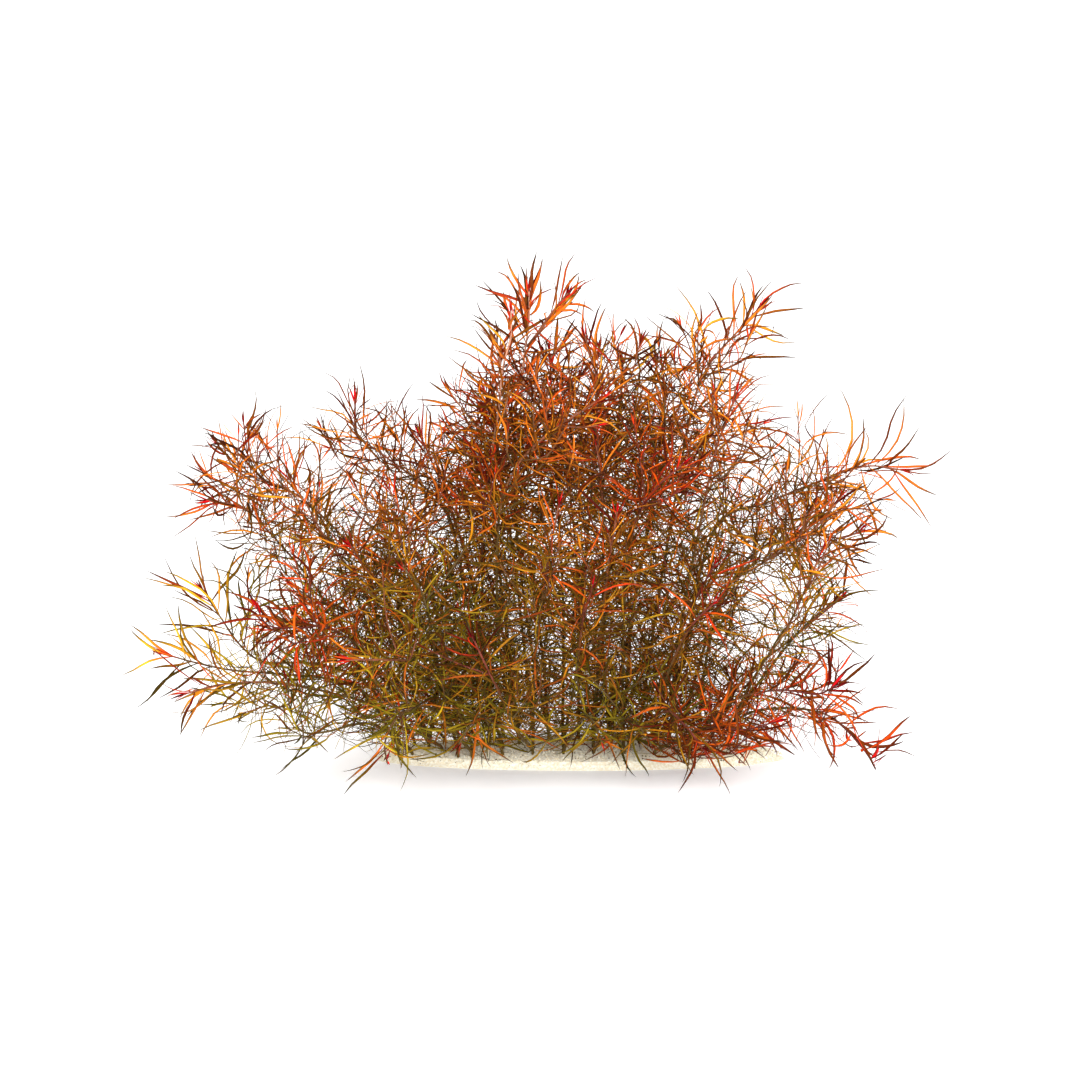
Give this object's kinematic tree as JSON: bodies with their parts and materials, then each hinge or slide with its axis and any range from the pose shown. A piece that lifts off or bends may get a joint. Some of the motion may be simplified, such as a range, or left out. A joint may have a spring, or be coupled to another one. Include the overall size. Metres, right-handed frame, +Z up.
{
  "type": "ludwigia arcuata",
  "caption": "Ludwigia arcuata aquarium plant: a dense bush of thin stems with needle leaves, olive below and orange to crimson at the tips, planted in a low bank of pale sand.",
  "frame": {"origin": "on the flat underside of the sand bank, 8 mm to the left of its middle and 5 mm in front of it, on the plane that the part rests on", "axes": "+X along the bush's long way, to the right as seen from the front, +Y towards its back, +Z up"},
  "size_m": [0.3999, 0.239, 0.2603],
  "materials": {
    "foliage": "satin",
    "sand": "matt"
  },
  "bodies": {
    "root": {"sand_bed": "sand", "stem_back_crown": "foliage", "stem_back_crown_left": "foliage", "stem_back_crown_right": "foliage", "stem_back_left": "foliage", "stem_back_left_high": "foliage", "stem_back_low": "foliage", "stem_back_middle": "foliage", "stem_back_right": "foliage", "stem_back_right_high": "foliage", "stem_centre_leaning": "foliage", "stem_crown_left": "foliage", "stem_crown_left_red": "foliage", "stem_crown_left_small": "foliage", "stem_crown_right": "foliage", "stem_crown_right_small": "foliage", "stem_face_crimson": "foliage", "stem_face_left": "foliage", "stem_face_low_orange": "foliage", "stem_face_low_red": "foliage", "stem_face_middle": "foliage", "stem_face_middle_left": "foliage", "stem_face_right": "foliage", "stem_face_right_high": "foliage", "stem_face_top": "foliage", "stem_face_upper_left": "foliage", "stem_front_centre": "foliage", "stem_front_left": "foliage", "stem_front_middle": "foliage", "stem_front_right": "foliage", "stem_front_yellow": "foliage", "stem_left_arching": "foliage", "stem_left_face": "foliage", "stem_left_face_high": "foliage", "stem_left_face_low": "foliage", "stem_left_hooked": "foliage", "stem_left_inner": "foliage", "stem_left_low_golden": "foliage", "stem_left_low_orange": "foliage", "stem_left_red_star": "foliage", "stem_left_rising": "foliage", "stem_left_upper": "foliage", "stem_left_upright": "foliage", "stem_right_bright_star": "foliage", "stem_right_crimson_star": "foliage", "stem_right_drooping": "foliage", "stem_right_long": "foliage", "stem_right_low_red": "foliage", "stem_right_mid_red": "foliage", "stem_right_middle": "foliage", "stem_right_olive": "foliage", "stem_right_orange": "foliage", "stem_right_upright_red": "foliage", "stem_top": "foliage", "stem_top_back_red": "foliage", "stem_top_branch": "foliage", "stem_top_right": "foliage", "stem_top_second": "foliage", "stem_top_yellow": "foliage"}
  },
  "joints": []
}
